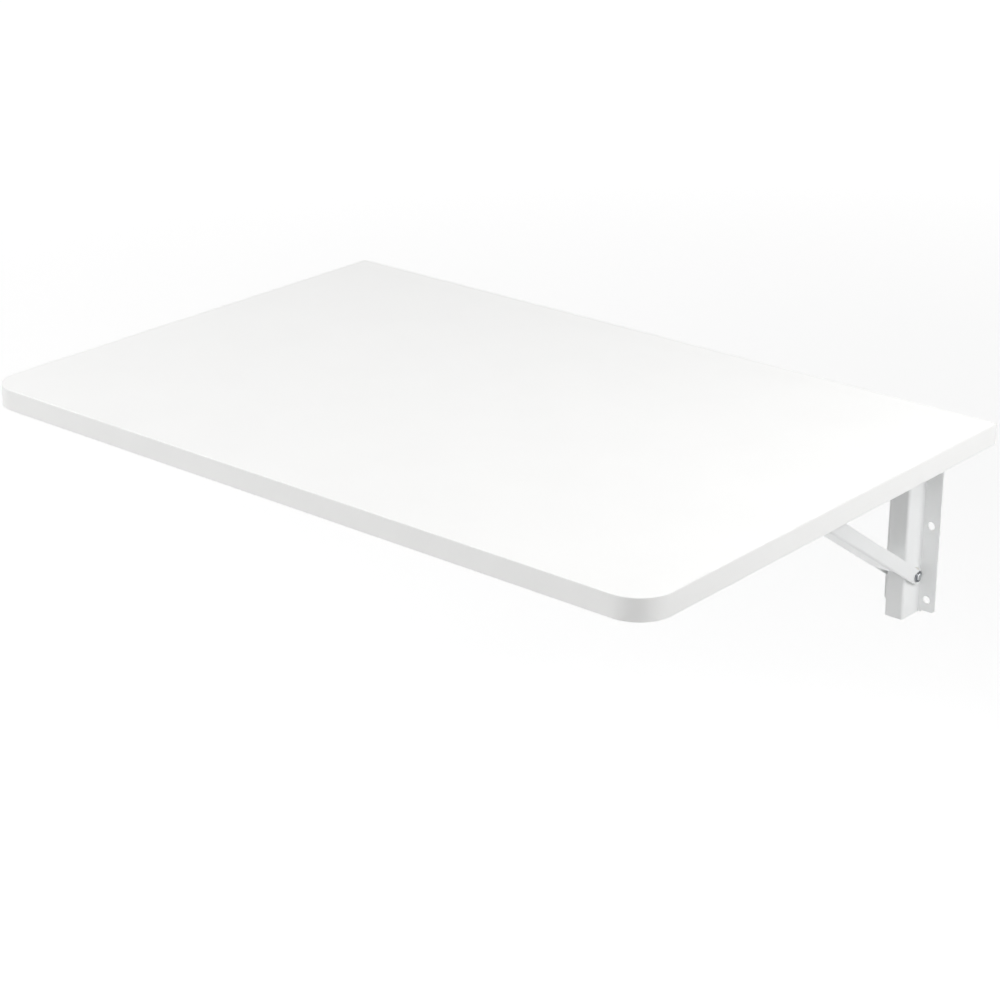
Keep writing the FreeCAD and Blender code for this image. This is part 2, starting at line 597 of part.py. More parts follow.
def make_retaining_ring(hand):
    """Spring steel ring in the arm pivot's groove, with a mouth that widens outwards."""
    body = bracket_body("retaining_ring", hand, "Layout.pivot_y", "Layout.pivot_z")
    face = new_sketch(body, "YZ_Plane", f"{hand} * Layout.head_inner")
    draw_circle(face, ("0", "0"), "Sizes.ring_diameter")
    draw_circle(face, ("0", "0"), "Sizes.pivot_groove + 2 * Sizes.seat_fit")
    pad(body, face, "Sizes.ring_sheet", backward=hand < 0)
    mouth = new_sketch(body, "YZ_Plane")
    level, rise = "cos(Sizes.ring_turn)", "sin(Sizes.ring_turn)"
    near = "0.18 * Sizes.ring_mouth"
    far = "0.82 * Sizes.ring_mouth"
    reach = "Sizes.ring_diameter"
    draw_outline(mouth, [
        (f"{near} * {rise}", f"{near} * {level}"),
        (f"-{near} * {rise}", f"-{near} * {level}"),
        (f"-{reach} * {level} - {far} * {rise}", f"{reach} * {rise} - {far} * {level}"),
        (f"-{reach} * {level} + {far} * {rise}", f"{reach} * {rise} + {far} * {level}")])
    cut(body, mouth, "4 * Layout.head_outer", symmetric=True)


def make_rings(name, hand, y, z, start, end, bore_fit):
    """Two plain rings on a pin, from start to end on each side of the middle."""
    body = bracket_body(name, hand, y, z)
    half = new_sketch(body, "XZ_Plane")
    bore = f"Sizes.pin_diameter / 2 + {bore_fit}"
    rim = "Sizes.spacer_diameter / 2"
    for sign in (1, -1):
        near = f"{sign} * {start}"
        far = f"{sign} * {end}"
        draw_outline(half, [(near, bore), (near, rim), (far, rim), (far, bore)])
    revolve(body, half)


def make_slide_pin(hand):
    """Pin riveted across the upper end of the arm, flush with its cheeks."""
    body = bracket_body("slide_pin", hand, "Layout.slide_y", "Layout.slot_z")
    end = new_sketch(body, "YZ_Plane")
    draw_circle(end, ("0", "0"), "Sizes.pin_diameter")
    pad(body, end, "Sizes.arm_width", symmetric=True)


def make_slide_bushes(hand):
    """Two spool-shaped bushes on the ends of the slide pin, held by the slots."""
    body = bracket_body("slide_bushes", hand, "Layout.slide_y", "Layout.slot_z")
    half = new_sketch(body, "XZ_Plane")
    collar = "Sizes.bush_collar / 2"
    hub = "Sizes.bush_hub / 2"
    for sign in (1, -1):
        near = f"{sign} * (Layout.arm_half + Sizes.clearance)"
        neck = f"{sign} * (Layout.rail_inner - Sizes.clearance)"
        cap = f"{sign} * Layout.bush_cap_inner"
        far = f"{sign} * Layout.bush_cap_outer"
        draw_outline(half, [(near, "0"), (near, collar), (neck, collar), (neck, hub),
                            (cap, hub), (cap, collar), (far, collar), (far, "0")])
    revolve(body, half)
    round_edges(body, "Sizes.bush_cap / 3", rim_at("Layout.bush_cap_outer", "Sizes.bush_collar"))


def make_release_lever(hand):
    """Flat lever beside the rail's inner cheek, with a hooked nose and a finger tab."""
    body = bracket_body("release_lever", hand, "Layout.lever_y", "Layout.lever_z")
    inward = hand > 0
    plane_offset = f"{-hand} * Layout.lever_inner"
    plate = new_sketch(body, "YZ_Plane", plane_offset)
    nose = "(Layout.nose_y - Layout.lever_y)"
    tip = "-Sizes.lever_nose_drop"
    hub = "Sizes.lever_hub"
    end = "-Sizes.lever_handle"
    end_low = "-Sizes.lever_handle_drop"
    end_high = "(Sizes.lever_handle_width - Sizes.lever_handle_drop)"
    corners = [
        (nose, tip), (nose, f"{tip} + Sizes.lever_nose_height"), (hub, hub), (f"-{hub}", hub),
        (end, end_high), (end, end_low), (f"-{hub}", "-Sizes.lever_neck"),
        (f"{nose} - Sizes.lever_nose_width", f"{tip} + Sizes.lever_nose_rise")]
    draw_outline(plate, corners)
    draw_circle(plate, ("0", "0"), "Sizes.rivet_diameter + 2 * Sizes.running_fit")
    pad(body, plate, "Sizes.sheet", backward=inward)
    round_edges(body, "Sizes.lever_round", straight_along("x", corners))
    tab = new_sketch(body, "YZ_Plane", plane_offset)
    slope = "((Sizes.lever_handle_drop - Sizes.lever_neck) / (Sizes.lever_handle - Sizes.lever_hub))"
    start = "(Sizes.lever_tab - Sizes.lever_handle)"
    start_low = f"(Sizes.lever_tab * {slope} - Sizes.lever_handle_drop)"
    stop = "(Sizes.lever_round - Sizes.lever_handle)"
    stop_low = f"(Sizes.lever_round * {slope} - Sizes.lever_handle_drop)"
    blade = [(start, start_low), (stop, stop_low),
             (stop, f"{stop_low} + Sizes.sheet"), (start, f"{start_low} + Sizes.sheet")]
    draw_outline(tab, blade)
    pad(body, tab, "Sizes.sheet + Sizes.lever_tab_width", backward=inward)
    free_end = f"{-hand} * (Layout.lever_outer + Sizes.lever_tab_width)"
    ends = [number(start), number(stop)]
    width = number(free_end)

    def at_tab_corner(edge):
        middle = edge.CenterOfMass
        vertical = edge.BoundBox.YLength < 1e-4 and edge.BoundBox.XLength < 1e-4
        return vertical and abs(middle.x - width) < 1e-4 and \
            min(abs(middle.y - place) for place in ends) < 1e-4

    round_edges(body, "3 * Sizes.lever_round", at_tab_corner)


def make_lever_rivet(hand):
    """Shouldered rivet that holds the lever on the rail's inner cheek."""
    body = bracket_body("lever_rivet", hand, "Layout.lever_y", "Layout.lever_z")
    half = new_sketch(body, "XZ_Plane")
    head = "Sizes.rivet_head / 2"
    shank = "Sizes.rivet_diameter / 2"
    shoulder = "Sizes.rivet_shoulder / 2"
    sign = -hand
    back = f"{sign} * (Layout.rail_inner - Sizes.rivet_head_height)"
    inside = f"{sign} * Layout.rail_inner"
    outside = f"{sign} * Layout.rail_outer"
    seat = f"{sign} * (Layout.lever_inner - Sizes.clearance)"
    keeper = f"{sign} * (Layout.lever_outer + Sizes.clearance)"
    top = f"{sign} * (Layout.lever_outer + Sizes.clearance + Sizes.rivet_head_height)"
    draw_outline(half, [
        (back, "0"), (back, shoulder), (inside, shoulder), (inside, shank), (outside, shank),
        (outside, shoulder), (seat, shoulder), (seat, shank), (keeper, shank),
        (keeper, head), (top, head), (top, "0")])
    revolve(body, half)
    round_edges(body, "0.8 * Sizes.rivet_head_height", rim_at(top, "Sizes.rivet_head"))


def make_lever_spring(hand):
    """Torsion spring round the rivet's shoulder: a coil and two straight legs.

    It is one wire, followed from the tip in the rail to the end of the free leg, and
    is laid out about its own Z axis, each half turn of the coil as one arc."""
    side = "right" if hand > 0 else "left"
    spring = document.addObject("Part::Feature", f"{side}_lever_spring")
    spring.Label = f"{side}_lever_spring"
    radius = number("Sizes.coil_diameter") / 2
    pitch = number("Sizes.coil_pitch")
    elbow = number("Sizes.wire_bend")
    start = number("Layout.rail_outer + Sizes.clearance / 2 + Sizes.wire / 2")
    along = Vector(0, hand, 0)
    up = Vector(0, 0, 1)
    leg = along * number("Sizes.spring_leg")

    def on_coil(quarters):
        angle = math.pi / 2 * quarters
        height = pitch * quarters / 4
        return Vector(radius * math.cos(angle), hand * radius * math.sin(angle), height)

    held_end = on_coil(0) - leg
    tip = held_end - up * (start - number("Layout.rail_inner"))
    below = held_end - up * elbow
    beyond = held_end + along * elbow
    middle = held_end + (along - up) * (elbow * (1 - math.sqrt(0.5)))
    run = [Part.makeLine(tip, below), Part.Arc(below, middle, beyond).toShape(),
           Part.makeLine(beyond, on_coil(0))]
    for half in range(2 * COIL_TURNS):
        bow = [on_coil(2 * half + quarter) for quarter in range(3)]
        run.append(Part.Arc(*bow).toShape())
    coil_end = on_coil(4 * COIL_TURNS)
    run.append(Part.makeLine(coil_end, coil_end + leg))
    section = Part.Wire(Part.makeCircle(number("Sizes.wire") / 2, tip, up))
    spring.Shape = Part.Wire(run).makePipeShell([section], True, False)
    turn = Rotation(Vector(0, 1, 0), -90) if hand > 0 else Rotation(Vector(1, 0, 1), 180)
    inward = hand * (number("Layout.bracket_offset") - start)
    place = Vector(inward, number("Layout.lever_y"), number("Layout.lever_z"))
    spring.Placement = Placement(place, turn)
    sub_parts.append(spring)


def make_board_screws(hand):
    """Pan head screws that hold the rail to the board, one body with one row."""
    body = bracket_body("board_screws", hand, "Layout.screw_y", "Layout.screw_seat_z")
    seat = new_sketch(body, "XY_Plane")
    draw_circle(seat, ("0", "0"), "Sizes.screw_head")
    pad(body, seat, "Sizes.screw_head_height", backward=True)
    head_level = number("Sizes.screw_head_height")

    def lower_rim(edge):
        round_edge = edge.Curve.TypeId == "Part::GeomCircle"
        return round_edge and abs(edge.Curve.Center.z + head_level) < 1e-4

    round_edges(body, "0.7 * Sizes.screw_head_height", lower_rim)
    shank = new_sketch(body, "XY_Plane")
    draw_circle(shank, ("0", "0"), "Sizes.screw_diameter")
    pad(body, shank, "Sizes.screw_length")
    length = number("Sizes.screw_length")

    def point_rim(edge):
        round_edge = edge.Curve.TypeId == "Part::GeomCircle"
        return round_edge and abs(edge.Curve.Center.z - length) < 1e-4

    base = body.Tip
    names = [f"Edge{i}" for i, edge in enumerate(base.Shape.Edges, 1) if point_rim(edge)]
    point = body.newObject("PartDesign::Chamfer", body.Name + "_point")
    point.Base = (base, names)
    point.ChamferType = "Two distances"
    point.setExpression("Size", "Sizes.screw_tip")
    point.setExpression("Size2", "Sizes.screw_diameter / 2 - Sizes.seat_fit")
    document.recompute()
    cross = new_sketch(body, "XY_Plane", "-Sizes.screw_head_height")
    long = "Sizes.screw_cross / 2"
    short = "Sizes.screw_cross_width / 2"
    draw_outline(cross, [
        (long, short), (short, short), (short, long), (f"-{short}", long),
        (f"-{short}", short), (f"-{long}", short), (f"-{long}", f"-{short}"),
        (f"-{short}", f"-{short}"), (f"-{short}", f"-{long}"), (short, f"-{long}"),
        (short, f"-{short}"), (long, f"-{short}")])
    cut(body, cross, "Sizes.screw_cross_depth", backward=True)
    row = body.newObject("PartDesign::LinearPattern", body.Name + "_row")
    row.TransformMode = "Whole shape"
    row.Direction = (next(a for a in body.Origin.OriginFeatures if a.Role == "Y_Axis"), [""])
    row.Reversed = True
    row.Occurrences = SCREW_COUNT
    row.setExpression("Length", f"{SCREW_COUNT - 1} * Sizes.screw_pitch")
    body.Tip = row
    document.recompute()


def make_bracket(hand):
    """All the pieces of one folding bracket."""
    make_wall_channel(hand)
    make_top_rail(hand)
    make_support_arm(hand)
    hinge = ("Layout.hinge_y", "Layout.hinge_z")
    pivot = ("Layout.pivot_y", "Layout.pivot_z")
    make_pin("hinge_pin", hand, *hinge, "(Layout.rail_outer + Sizes.clearance)",
             "Sizes.hinge_head")
    make_rings("hinge_spacers", hand, *hinge, "Layout.web_half",
               "(Layout.rail_inner - Sizes.clearance)", "Sizes.seat_fit")
    make_arm_pivot(hand)
    make_retaining_ring(hand)
    make_rings("arm_washers", hand, *pivot, "Layout.web_half",
               "(Layout.arm_inner - Sizes.clearance)", "Sizes.seat_fit")
    make_slide_pin(hand)
    make_slide_bushes(hand)
    make_release_lever(hand)
    make_lever_rivet(hand)
    make_lever_spring(hand)
    make_board_screws(hand)


make_board()
make_front_band()
make_rear_band()
for bracket_hand in (1, -1):
    make_bracket(bracket_hand)
document.recompute()

for item in document.Objects:
    if "Invalid" in item.State or "Error" in item.State:
        raise RuntimeError(f"{item.Label} failed to build: {item.State}")
for item in sub_parts:
    if item.Shape.isNull() or not item.Shape.isValid():
        raise RuntimeError(f"{item.Label} has no valid shape")

os.makedirs("parts", exist_ok=True)
for item in sub_parts:
    item.Shape.exportStep(f"parts/{item.Label}.step")

print("arm length", round(number("Layout.arm_length"), 3))
print("slide at rest", [round(number("Layout." + name), 3) for name in ("slide_y", "slot_z")])
print("lever rivet", [round(number("Layout." + name), 3) for name in ("lever_y", "lever_z")])
print("slide travel", round(number("Layout.slide_y - Layout.slot_far_y"), 3))
arm_turn = number("90 + Sizes.arm_angle") - math.degrees(
    math.asin(number("Layout.lean") / number("Layout.arm_length")))
print("arm turn", round(arm_turn, 3))
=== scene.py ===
"""Finishes, stage and camera of a wall mounted drop leaf table.

Metres. The wall is the plane y = 0, the open board stands out along -Y, z = 0 is the
top of the board and x = 0 is the middle of its wall edge."""
import math

import bmesh
import bpy
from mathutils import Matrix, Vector


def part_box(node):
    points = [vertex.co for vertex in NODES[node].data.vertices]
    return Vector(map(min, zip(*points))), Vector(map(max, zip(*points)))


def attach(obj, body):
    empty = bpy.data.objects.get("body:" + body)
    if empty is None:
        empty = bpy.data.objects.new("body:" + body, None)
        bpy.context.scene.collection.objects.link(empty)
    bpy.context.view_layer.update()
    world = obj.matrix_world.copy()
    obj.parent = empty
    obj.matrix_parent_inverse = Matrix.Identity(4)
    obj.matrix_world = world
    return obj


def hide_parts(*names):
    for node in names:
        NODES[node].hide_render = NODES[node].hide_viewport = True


bl_info = {
    "name": "Drop Leaf Table",
    "version": (1, 0, 0),
    "blender": (4, 5, 0),
    "location": "View3D > Sidebar > Table",
    "description": "Finishes and stage of a wall mounted drop leaf table",
    "category": "Object",
}

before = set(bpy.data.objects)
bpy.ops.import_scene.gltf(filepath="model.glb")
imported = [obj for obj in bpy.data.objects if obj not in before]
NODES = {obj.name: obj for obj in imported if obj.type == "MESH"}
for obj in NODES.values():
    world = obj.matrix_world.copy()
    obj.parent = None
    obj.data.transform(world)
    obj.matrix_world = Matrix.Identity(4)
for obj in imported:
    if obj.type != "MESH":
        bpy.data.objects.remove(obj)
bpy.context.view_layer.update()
MM = 0.001
SIDES = ("right", "left")


# Values

def linear(hex_colour):
    """An sRGB hex colour as the linear colour that Blender works in."""
    shares = [int(hex_colour[start:start + 2], 16) / 255 for start in (1, 3, 5)]
    return tuple(s / 12.92 if s <= 0.04045 else ((s + 0.055) / 1.055) ** 2.4
                 for s in shares) + (1.0,)


def length_value(name, size_mm, description):
    """A length that a user may change, given in millimetres."""
    return bpy.props.FloatProperty(
        name=name, description=description, default=size_mm * MM, min=0.0,
        unit="LENGTH", precision=5)


def colour_value(name, hex_colour, description):
    """A colour that a user may change."""
    return bpy.props.FloatVectorProperty(
        name=name, description=description, default=linear(hex_colour), size=4,
        subtype="COLOR", min=0.0, max=1.0)


def lamp_value(name, watts, description):
    """The power of a lamp."""
    return bpy.props.FloatProperty(
        name=name, description=description, default=watts, min=0.0, unit="POWER")


class BoardValues(bpy.types.PropertyGroup):
    """Sizes and colours of the board and its edge strips."""

    corner_radius: length_value("Corner radius", 26, "Front corners, seen from above")
    strip_thickness: length_value("Strip thickness", 1, "Edge strip round the core")
    strip_round: length_value("Strip rounding", 0.5, "Outer edges of the strip")
    arris: length_value("Arris", 0.12, "Broken edge of the core beside the strip")
    melamine: colour_value("Melamine", "#F6F6F5", "Faces of the board")
    strip: colour_value("Edge strip", "#F3F3F2", "Plastic strip round the board")


class BracketValues(bpy.types.PropertyGroup):
    """Sizes and colours of the two folding brackets."""

    sheared_edge: length_value("Sheared edge", 0.22, "Rounding of cut sheet")
    turned_edge: length_value("Turned edge", 0.12, "Rounding of the small parts")
    head_height: length_value("Head height", 1.8, "Domed heads of the hinge pins")
    paint: colour_value("Powder coat", "#F2F3F3", "Sheet metal of the brackets")
    zinc: colour_value("Zinc", "#C3C6C9", "Pins, rivets and screws")
    steel: colour_value("Spring steel", "#8B8E92", "Lever springs and retaining rings")
    acetal: colour_value("Acetal", "#E9E8E1", "Bushes, spacers and washers")


class StageValues(bpy.types.PropertyGroup):
    """Floor, light and camera."""

    floor_drop: bpy.props.FloatProperty(
        name="Floor drop", description="Top of the board down to the floor",
        default=0.75, min=0.2, unit="LENGTH")
    floor: colour_value("Floor", "#EDEDED", "Plain pale floor")
    floor_lift: bpy.props.FloatProperty(
        name="Floor lift", description="White added to the floor under the table",
        default=0.57, min=0.0, max=1.0)
    sky: bpy.props.FloatProperty(
        name="Sky", description="Strength of the even light from all round",
        default=0.005, min=0.0)
    overhead: lamp_value("Overhead", 28.5, "Soft lamp above")
    left_hand: lamp_value("Left hand", 31.0, "Soft lamp in front on the left")
    near_camera: lamp_value("Near camera", 28.0, "Soft lamp above the camera")
    right_hand: lamp_value("Right hand", 2.0, "Soft lamp right of the board")
    right_wall: lamp_value("Right wall", 4.2, "Soft lamp right, behind the wall line")
    below: lamp_value("Below", 0.4, "Soft lamp just above the floor, shining up")
    azimuth: bpy.props.FloatProperty(
        name="Azimuth", description="Camera round the table, from straight in front",
        default=math.radians(40.395), subtype="ANGLE")
    elevation: bpy.props.FloatProperty(
        name="Elevation", description="Camera above the horizon",
        default=math.radians(22.175), subtype="ANGLE")
    lens: bpy.props.FloatProperty(
        name="Lens", description="Focal length on a 36 mm sensor", default=93.08,
        min=1.0, unit="CAMERA")
    camera_place: bpy.props.FloatVectorProperty(
        name="Camera place", description="Where the camera stands",
        default=(1.1254, -1.5027, 0.6266), subtype="TRANSLATION", size=3,
        unit="LENGTH")


# Materials

# The part of 0 to 1 that nearly all of a noise lies in
NOISE_LOW, NOISE_HIGH = 0.3, 0.7


def add_node(tree, kind, inputs=None, **settings):
    """One node of a kind, with its settings, and each input set or linked."""
    made = tree.nodes.new(kind)
    for name, value in settings.items():
        setattr(made, name, value)
    for name, value in (inputs or {}).items():
        if isinstance(value, bpy.types.NodeSocket):
            tree.links.new(value, made.inputs[name])
        else:
            made.inputs[name].default_value = value
    return made


def blank_material(name):
    """A node material with nothing in it but its output."""
    material = bpy.data.materials.new(name)
    material.use_nodes = True
    tree = material.node_tree
    tree.nodes.clear()
    output = add_node(tree, "ShaderNodeOutputMaterial")
    return material, tree, output


def shade_of(colour, share):
    """A colour made lighter or darker by a share."""
    return tuple(min(1.0, channel * share) for channel in colour[:3]) + (1.0,)


def finish_material(name, noises, tone, roughness, reliefs, shader):
    """A finish whose colour, gloss and relief follow noises of real sizes.

    A noise is its grain in mm, its detail and its dimensions, and one of 1D changes
    only along Z. The tone runs between two colours as one noise does, and so does the
    roughness between two numbers. A relief is a noise and its depth in mm, and the
    next lies on top of it. The shader's other inputs are the same all over."""
    material, tree, output = blank_material(name)
    place = add_node(tree, "ShaderNodeTexCoord").outputs["Object"]
    factors = {}
    for noise, (size, detail, dimensions) in noises.items():
        inputs = {"Scale": 1.0 / (size * MM), "Detail": detail}
        if dimensions == "1D":
            parts = add_node(tree, "ShaderNodeSeparateXYZ", {"Vector": place})
            inputs["W"] = parts.outputs["Z"]
        else:
            inputs["Vector"] = place
        factors[noise] = add_node(tree, "ShaderNodeTexNoise", inputs,
                                  noise_dimensions=dimensions).outputs["Fac"]

    noise, first, second = tone
    share = add_node(tree, "ShaderNodeMapRange", {
        "Value": factors[noise], "From Min": NOISE_LOW, "From Max": NOISE_HIGH})
    colour = add_node(tree, "ShaderNodeMix", {
        0: share.outputs["Result"], 6: first, 7: second}, data_type="RGBA")
    noise, low, high = roughness
    gloss = add_node(tree, "ShaderNodeMapRange", {
        "Value": factors[noise], "From Min": NOISE_LOW, "From Max": NOISE_HIGH,
        "To Min": low, "To Max": high})
    inputs = {"Base Color": colour.outputs[2], "Roughness": gloss.outputs["Result"]}
    for noise, depth in reliefs:
        bump = {"Height": factors[noise], "Strength": 1.0, "Distance": depth * MM}
        if "Normal" in inputs:
            bump["Normal"] = inputs["Normal"]
        inputs["Normal"] = add_node(tree, "ShaderNodeBump", bump).outputs["Normal"]
    surface = add_node(tree, "ShaderNodeBsdfPrincipled", inputs | shader)
    tree.links.new(surface.outputs["BSDF"], output.inputs["Surface"])
    return material


def melamine_material(values):
    """Melamine faced chipboard, pressed against a pearl textured plate.

    The paper is an even white. The plate leaves shallow pearls under a millimetre
    across, which break a highlight up into a soft satin sheen."""
    return finish_material(
        "white_melamine_pearl",
        noises={"pearls": (0.7, 1.0, "3D"), "cloud": (60, 2.0, "3D")},
        tone=("cloud", shade_of(values.melamine, 0.988), values.melamine),
        roughness=("cloud", 0.36, 0.42),
        reliefs=[("pearls", 0.012)],
        shader={"IOR": 1.52})


def strip_material(values):
    """ABS edge strip, extruded and trimmed flush.

    Extrusion leaves faint lines along the strip, and the trimming cutter leaves
    ripples across it a few millimetres apart."""
    return finish_material(
        "white_abs_edge_strip",
        noises={"lines": (0.8, 1.0, "1D"), "ripples": (3, 0.0, "3D"),
                "cloud": (45, 1.0, "3D")},
        tone=("cloud", shade_of(values.strip, 0.985), values.strip),
        roughness=("lines", 0.38, 0.5),
        reliefs=[("lines", 0.006), ("ripples", 0.01)],
        shader={"IOR": 1.53})


def powder_coat_material(values):
    """Polyester powder coat baked on cold rolled steel sheet.

    The coat flows into the low waves called orange peel, 2 mm from one to the next,
    under a finer grain, so highlights on the bends are soft and a little uneven while
    the flat faces look smooth."""
    return finish_material(
        "white_powder_coat",
        noises={"peel": (2.2, 1.0, "3D"), "fine": (0.35, 1.0, "3D"),
                "cloud": (25, 2.0, "3D")},
        tone=("cloud", shade_of(values.paint, 0.994), values.paint),
        roughness=("cloud", 0.29, 0.31),
        reliefs=[("peel", 0.006), ("fine", 0.002)],
        shader={"IOR": 1.5})


def zinc_material(values):
    """Bright zinc plated steel, barrel plated.

    The plating is a bluish grey mirror dulled by tumbling, with faint clouds of
    yellow and tiny knocks."""
    red, green, blue = values.zinc[:3]
    yellowed = (red, green * 0.985, blue * 0.95, 1.0)
    return finish_material(
        "bright_zinc_plated_steel",
        noises={"cloud": (2.5, 2.0, "3D"), "knocks": (0.6, 2.0, "3D")},
        tone=("cloud", values.zinc, yellowed),
        roughness=("knocks", 0.24, 0.36),
        reliefs=[("knocks", 0.006)],
        shader={"Metallic": 1.0})


def spring_steel_material(values):
    """Spring steel, drawn or rolled and left bare under a film of oil.

    Hardening leaves it dark grey with fine mottling and a dull gleam."""
    return finish_material(
        "bare_spring_steel",
        noises={"mottling": (0.4, 3.0, "3D")},
        tone=("mottling", shade_of(values.steel, 0.8), values.steel),
        roughness=("mottling", 0.28, 0.42),
        reliefs=[("mottling", 0.004)],
        shader={"Metallic": 1.0})


def acetal_material(values):
    """Natural acetal, moulded.

    It is an off-white, slightly waxy plastic with the fine matt of its mould."""
    return finish_material(
        "natural_acetal",
        noises={"matt": (0.3, 1.0, "3D"), "cloud": (6, 1.0, "3D")},
        tone=("cloud", shade_of(values.acetal, 0.97), values.acetal),
        roughness=("matt", 0.42, 0.55),
        reliefs=[("matt", 0.004)],
        shader={"IOR": 1.48, "Subsurface Weight": 0.08, "Subsurface Scale": 1.0 * MM})


def material_once(name, make, values):
    """The material of that name, made the first time it is asked for."""
    return bpy.data.materials.get(name) or make(values)


# Modelling

ROD_SIDES = 64
CORNER_SEGMENTS = 32  # round each front corner of the board
STRIP_SEGMENTS = 4    # across a rounded edge of the strip
EDGE_SEGMENTS = 2     # across a broken or softened edge
ALONG = 0.99          # cosine past which a line or normal runs along an axis
FACING = 0.9          # cosine past which a face looks along an axis
NEAR = MM / 4         # distance within which an edge lies on a face
WELD_GAP = 0.001 * MM
FLAT_LIMIT = 0.5      # degrees by which the facets of a flat face may differ
SOFT_LIMIT = 50       # degrees of bend past which an edge of a CAD node is softened
PIECE_CREASE = 40     # degrees of bend past which a made piece stays sharp
HEAD_CREASE = 50      # the same for a domed head, which is made of steeper steps


def deselect():
    """Leave edit mode and empty the selection."""
    if bpy.context.object and bpy.context.object.mode != "OBJECT":
        bpy.ops.object.mode_set(mode="OBJECT")
    bpy.ops.object.select_all(action="DESELECT")


def name_and_settle(name):
    """Name the primitive just added, and put its place and size in its mesh."""
    piece = bpy.context.object
    piece.name = piece.data.name = name
    bpy.ops.object.transform_apply(location=True, rotation=True, scale=True)
    return piece


def start_block(name, low, high):
    """A block between two corners."""
    deselect()
    low, high = Vector(low), Vector(high)
    bpy.ops.mesh.primitive_cube_add(size=1, location=(low + high) / 2,
                                    scale=high - low)
    return name_and_settle(name)


def start_rod(name, middle, radius, length):
    """A rod along X about its middle."""
    deselect()
    bpy.ops.mesh.primitive_cylinder_add(
        vertices=ROD_SIDES, radius=radius, depth=length, location=middle,
        rotation=(0, math.pi / 2, 0))
    return name_and_settle(name)


def choose(piece, kind, test):
    """In edit mode, select the vertices, edges or faces of a piece that pass a test."""
    if piece.mode != "EDIT":
        bpy.ops.object.mode_set(mode="EDIT")
    bpy.ops.mesh.select_mode(type=kind)
    bpy.ops.mesh.select_all(action="DESELECT")
    shape = bmesh.from_edit_mesh(piece.data)
    items = {"VERT": shape.verts, "EDGE": shape.edges, "FACE": shape.faces}[kind]
    chosen = [item for item in items if test(item)]
    if not chosen:
        raise RuntimeError(f"{piece.name}: nothing passes the test")
    for item in chosen:
        item.select_set(True)
    bmesh.update_edit_mesh(piece.data)


def middle_of(edge):
    """The middle of an edge."""
    return (edge.verts[0].co + edge.verts[1].co) / 2


def upright(edge):
    """Whether an edge stands along Z."""
    run = edge.verts[0].co - edge.verts[1].co
    return abs(run.z) > ALONG * run.length


def make_active(piece):
    """Select one piece alone."""
    deselect()
    piece.select_set(True)
    bpy.context.view_layer.objects.active = piece


def apply_modifier(piece, kind, **settings):
    """Add one modifier with its settings and apply it."""
    make_active(piece)
    modifier = piece.modifiers.new(kind.title(), kind)
    for name, value in settings.items():
        setattr(modifier, name, value)
    bpy.ops.object.modifier_apply(modifier=modifier.name)


def finish_piece(piece, material, body, replaced, crease=PIECE_CREASE):
    """Smooth a made piece up to a crease, and hand it over in place of a CAD node."""
    make_active(piece)
    bpy.ops.object.shade_smooth_by_angle(angle=math.radians(crease))
    apply_modifier(piece, "WEIGHTED_NORMAL", keep_sharp=True)
    piece.data.materials.clear()
    piece.data.materials.append(material)
    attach(piece, body)
    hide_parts(replaced)
    deselect()


def finish_node(name, material):
    """Give a CAD node its material."""
    node = NODES[name]
    node.data.materials.clear()
    node.data.materials.append(material)
    return node


def carry_over(name, material, rounding):
    """Give a CAD node its material and soften its cut edges."""
    node = finish_node(name, material)
    weld = node.modifiers.new("Weld", "WELD")
    weld.merge_threshold = WELD_GAP
    flat = node.modifiers.new("Flat faces", "DECIMATE")
    flat.decimate_type = "DISSOLVE"
    flat.angle_limit = math.radians(FLAT_LIMIT)
    soft = node.modifiers.new("Softened edges", "BEVEL")
    soft.width = rounding
    soft.segments = EDGE_SEGMENTS
    soft.limit_method = "ANGLE"
    soft.angle_limit = math.radians(SOFT_LIMIT)
    even = node.modifiers.new("Even shading", "WEIGHTED_NORMAL")
    even.keep_sharp = True


# Pieces

class TABLE_OT_board(bpy.types.Operator):
    """Make the board's core with its faces and broken edges"""

    bl_idname = "drop_leaf.board"
    bl_label = "Board"

    def execute(self, context):
        values = context.scene.drop_leaf_board
        low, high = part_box("table_board")
        board = start_block("board_panel", low, high)
        choose(board, "EDGE",
               lambda edge: upright(edge) and middle_of(edge).y < low.y + MM)
        bpy.ops.mesh.bevel(offset=values.corner_radius - values.strip_thickness,
                           segments=CORNER_SEGMENTS, affect="EDGES")
        choose(board, "EDGE", lambda edge: not upright(edge))
        bpy.ops.mesh.bevel(offset=values.arris, segments=EDGE_SEGMENTS,
                           affect="EDGES")
        material = material_once("white_melamine_pearl", melamine_material, values)
        finish_piece(board, material, "table", "table_board")
        return {"FINISHED"}


